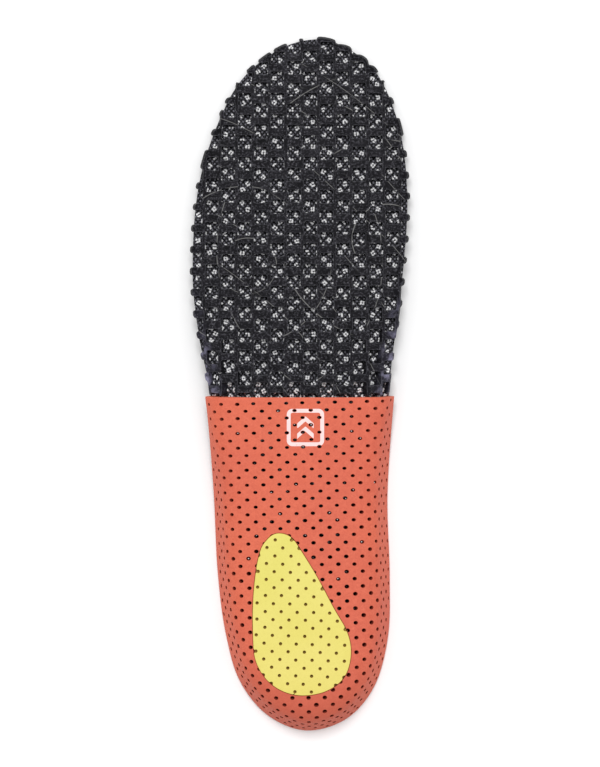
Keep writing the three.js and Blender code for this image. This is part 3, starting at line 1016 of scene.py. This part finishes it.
def pad():
    """The yellow pad: a punched layer on a plain one, in one mesh."""
    low, high = pad_loop.min(0) - MARGIN, pad_loop.max(0) + MARGIN
    centres = pattern(PAD_HOLE_ANCHOR, PAD_HOLE_PITCH, PAD_HOLE_TILT, low, high)
    centres = centres + rng.normal(0, PAD_HOLE_SCATTER, centres.shape)
    centres = centres[pad_field(centres) < PAD_HOLE_RADIUS / 2]
    holes = round_holes(centres, PAD_HOLE_RADIUS)
    field = without(pad_field, holes, blend=0.0003)

    def top(points, depth):
        crown = PAD_CROWN * np.clip(-pad_field(points) / PAD_CROWN_REACH, 0, 1) ** 0.6
        return base.under(base.locate(points), depth - crown - PAD_PROUD)

    def level_at(depth):
        return lambda points, below=0: base.under(base.locate(points), np.full(len(points), depth) + below)

    vertices, faces, _, places, levels = plate(
        field, (low, high), top, level_at(PAD_HOLE_DEPTH + PAD_LAP),
        bevel=0.00018, fill_pitch=0.0018, spacing=0.00036, step=0.0003,
    )
    around = pad_field(places) > -0.0001
    # Painted shade: wall darkens the holes' walls, edge the pad's rounded rim and side
    wall, edge = np.clip(levels, 0, 2) / 2 * ~around, (levels >= 0.3) * around
    floor_vertices, floor_faces, *_ = plate(
        lambda points: pad_field(points) + PAD_BASE_SETBACK, (low, high),
        level_at(PAD_HOLE_DEPTH), level_at(PAD_DEPTH), bevel=0.0001, fill_pitch=0.0025, spacing=0.001,
    )
    faces += [tuple(i + len(vertices) for i in face) for face in floor_faces]
    shades = {
        # painted shade on the base, at the bottoms of the holes
        "wall": np.append(wall, np.full(len(floor_vertices), 0.35)),
        "edge": np.append(edge, np.zeros(len(floor_vertices))),
    }
    vertices = np.vstack([vertices, floor_vertices])
    return build("heel_pad.foam", vertices, faces, [yellow_foam()], shades=shades)


def notches():
    """Cells of the inner flank that lie open to the side, next to the shell."""
    right = base.outline[base.outline[:, 0] > 0]
    rows = SHELL_FRONT + FIRST_ROW + np.arange(NOTCH_ROWS) * ROW_PITCH
    x = [right[np.argmin(np.abs(right[:, 1] - y)), 0] for y in rows]
    half = (NOTCH_DEPTH, CELL_SIZE[1] / 2)
    return rounded_cells(np.column_stack([x, rows]), np.tile(half, (NOTCH_ROWS, 1)))


def lattice_cells(columns=9, rows=20):
    """The staggered cells that the outline leaves room for, each a little out of place and size."""
    centres = []
    for column in range(-columns, columns + 1):
        first = SHELL_FRONT + FIRST_ROW + (ROW_PITCH / 2 if column % 2 else 0)
        for row in range(-1, rows):
            centres.append((COLUMN_SHIFT + column * COLUMN_PITCH, first + row * ROW_PITCH))
    centres = np.array(centres)
    closed = (centres[:, 1] > CAD_HIGH.y - TOE_BAND) & (centres[:, 0] < TOE_SIDE)
    centres = centres[outline_field(centres) < np.where(closed, -TOE_MARGIN, CELL_OVERHANG)]
    centres = centres + rng.normal(0, CELL_SCATTER, centres.shape)
    sizes = np.array(CELL_SIZE) / 2 * rng.uniform(0.96, 1.04, (len(centres), 2))
    return rounded_cells(centres, sizes)


def lattice():
    """The black grid of open cells in front of the shell."""
    low = np.array([CAD_LOW.x - MARGIN, SHELL_FRONT - 0.002])
    high = np.array([CAD_HIGH.x, CAD_HIGH.y]) + MARGIN
    body = common(outline_field, ahead(SHELL_FRONT + SEAM_GAP))
    vertices, faces, _, places, levels = plate(
        without(body, lattice_cells(), notches(), blend=0.0009), (low, high),
        lambda points, depth: base.under(base.locate(points), depth + SHELL_STEP), onto_foot(0),
        bevel=0.00026, fill_pitch=0.0016, spacing=0.00055,
    )
    at = base.locate(places)
    steep = np.clip((at["length"] - at["from_rim"]) / UNDERSIDE_RADIUS, 0, 1)
    shades = {
        # painted shade down the cells' walls
        "wall": np.clip(levels - 1, 0, 1) * (levels < 3),
        # painted highlight on the cells' rounded edges
        "edge": (levels > 0) * (levels < 0.9),
        # painted sheen on the steep flanks near the shell
        "flank": steep * smoothstep(places[:, 1], SHELL_FRONT + 0.05, SHELL_FRONT + 0.01),
    }
    return build("forefoot_lattice.foam", vertices, faces, [black_foam()], shades=shades)


def cover_loop():
    """The flattened cover's edge, which is set back from the rim in the forefoot."""
    y = base.edge[:, 1] - HEEL_Y
    setback = COVER_SETBACK * smoothstep(y, SHELL_FRONT - HEEL_Y, OUTER_FLANK_END) / base.sizes["stretch"]
    return base.outline + base.inward * setback[:, None]


def cover(loop):
    """The mesh fabric, full length, on the foot side of the foam."""
    vertices, faces, *_ = plate(
        loop_field(loop), (loop.min(0) - MARGIN, loop.max(0) + MARGIN),
        onto_foot(COVER_TOP), onto_foot(COVER_BOTTOM),
        bevel=0.0002, fill_pitch=0.003, spacing=0.0015, step=0.001,
    )
    return build("top_cover.fabric", vertices, faces, [black_mesh()])


# A rounded stitch: six points and four shoulders
SEED = np.array([
    (1, 0, 0), (-1, 0, 0), (0, 1, 0), (0, -1, 0), (0, 0, 1), (0, 0, -1),
    (0.68, 0.68, 0.3), (-0.68, 0.68, 0.3), (0.68, -0.68, 0.3), (-0.68, -0.68, 0.3),
])
SEED_FACES = [
    (0, 6, 4), (6, 2, 4), (2, 7, 4), (7, 1, 4), (1, 9, 4), (9, 3, 4), (3, 8, 4), (8, 0, 4),
    (6, 0, 5), (2, 6, 5), (7, 2, 5), (1, 7, 5), (9, 1, 5), (3, 9, 5), (8, 3, 5), (0, 8, 5),
]


def stitches(middles, turns, sizes, place, step=0.0002):
    """Small rounded stitches, each lying on the surface of place and turned about its normal."""
    ground = place(middles)
    along, across = place(middles + (0, step)) - ground, place(middles + (step, 0)) - ground
    along /= np.linalg.norm(along, axis=1)[:, None]
    across /= np.linalg.norm(across, axis=1)[:, None]
    up = np.cross(across, along)
    cos, sin = np.cos(turns)[:, None], np.sin(turns)[:, None]
    first, second = across * cos + along * sin, along * cos - across * sin
    return (
        ground[:, None]
        + first[:, None] * (SEED[None, :, 0:1] * sizes[:, None, 0:1])
        + second[:, None] * (SEED[None, :, 1:2] * sizes[:, None, 1:2])
        + up[:, None] * (SEED[None, :, 2:3] * sizes[:, None, 2:3])
    ).reshape(-1, 3)


def clusters(spots):
    """The stitches of the clusters: their middles, turns and half sizes."""
    middles, turns, sizes = [], [], []
    for spot in spots:
        lean = rng.uniform(0, math.pi / 2)
        for k in range(FLECK_STITCHES):
            if rng.random() < STITCH_SKIPPED:
                continue
            angle = lean + k * math.tau / FLECK_STITCHES + rng.normal(0, 0.2)
            away = rng.uniform(0.00056, 0.00074)
            middles.append(spot + away * np.array([math.cos(angle), math.sin(angle)]))
            turns.append(angle + math.pi / 2 + rng.normal(0, 0.5))
            sizes.append((rng.uniform(0.0005, 0.00068), rng.uniform(0.00038, 0.0005), 0.0004))
    return np.array(middles), np.array(turns), np.array(sizes)


def flecks(loop):
    """The white yarn that shows in the mesh fabric: clusters of short stitches round a dark middle, and
    a few loose ends that have come up through the holes of the shell."""
    spots = pattern(FLECK_ANCHOR, FLECK_PITCH, 0, loop.min(0), loop.max(0))
    spots = spots + rng.normal(0, FLECK_SCATTER, spots.shape)
    spots = spots[loop_field(loop)(spots) < -FLECK_MARGIN]
    stitched = stitches(*clusters(spots), onto_foot(COVER_TOP))
    level = (outline_field(shell_holes) < -LOOSE_END_MARGIN) & (pad_field(shell_holes) > PAD_SURROUND)
    ends = shell_holes[level][rng.choice(level.sum(), LOOSE_ENDS, replace=False)]
    ends = ends + rng.uniform(-0.00025, 0.00025, ends.shape)
    loose = stitches(
        ends, rng.uniform(0, math.pi, len(ends)), rng.uniform(0.00018, 0.00032, (len(ends), 3)),
        lambda points: base.under(base.locate(points), np.full(len(points), LOOSE_END_DEPTH)),
    )
    vertices = np.vstack([stitched, loose])
    faces = [tuple(i + k for i in f) for k in range(0, len(vertices), len(SEED)) for f in SEED_FACES]
    return build("top_cover.yarn", vertices, faces, [white_yarn()], sharp=math.pi)


def area_of(loop):
    x, y = loop[:, 0], loop[:, 1]
    return abs(float(np.dot(x, np.roll(y, -1)) - np.dot(y, np.roll(x, -1)))) / 2


edge_loop = cover_loop()
shell_piece = carry(shell(), "heel_shell")
pad_piece = carry(pad(), "heel_pad")
lattice_piece = carry(lattice(), "forefoot_lattice")
cover_piece = carry(cover(edge_loop), "top_cover")
yarn_piece = carry(flecks(edge_loop), None)

area_of(edge_loop)


# ---- The studio ----

FLOOR_REACH = 6
PICTURE_HEIGHT = 0.2967  # what the camera takes in at half the insole's height


def floor():
    look = Look("pale_floor")
    shade = look.noise(6, 2)
    look.set(
        Base_Color=look.blend(shade, (0.97, 0.97, 0.97, 1), (0.95, 0.95, 0.955, 1)),
        Roughness=0.9,
        Specular_IOR_Level=0.1,
    )
    look.bump((look.noise(500, 2), 0.0001, 0.05))
    mesh = bpy.data.meshes.new("floor")
    corners = [(x * FLOOR_REACH, y * FLOOR_REACH, 0) for x, y in ((-1, -1), (1, -1), (1, 1), (-1, 1))]
    mesh.from_pydata(corners, [], [(0, 1, 2, 3)])
    mesh.materials.append(look.material)
    made = bpy.data.objects.new("floor", mesh)
    made.location.z = CAD_LOW.z - 0.0001
    bpy.context.scene.collection.objects.link(made)


def area_light(name, place, size, power):
    data = bpy.data.lights.new(name, "AREA")
    data.shape = "SQUARE"
    data.size = size
    data.energy = power
    made = bpy.data.objects.new(name, data)
    made.location = place
    made.rotation_euler = (-Vector(place)).to_track_quat("-Z", "Y").to_euler()
    bpy.context.scene.collection.objects.link(made)


def studio():
    world = bpy.data.worlds.new("studio")
    world.use_nodes = True
    background = world.node_tree.nodes["Background"].inputs
    background["Color"].default_value = (1, 1, 1, 1)
    background["Strength"].default_value = 0.76
    bpy.context.scene.world = world
    area_light("key", (-0.1, 0.6, 1.5), 0.5, 11)
    area_light("fill", (0.3, 0.2, 1.6), 0.5, 2)
    bpy.context.scene.view_settings.view_transform = "Standard"


def camera():
    data = bpy.data.cameras.new("camera")
    data.lens = 250
    data.sensor_width = 36
    made = bpy.data.objects.new("camera", data)
    made.location = (0, 0, UNDERSIDE_Z / 2 + PICTURE_HEIGHT * data.lens / data.sensor_width)
    bpy.context.scene.collection.objects.link(made)
    bpy.context.scene.camera = made


floor()
studio()
camera()
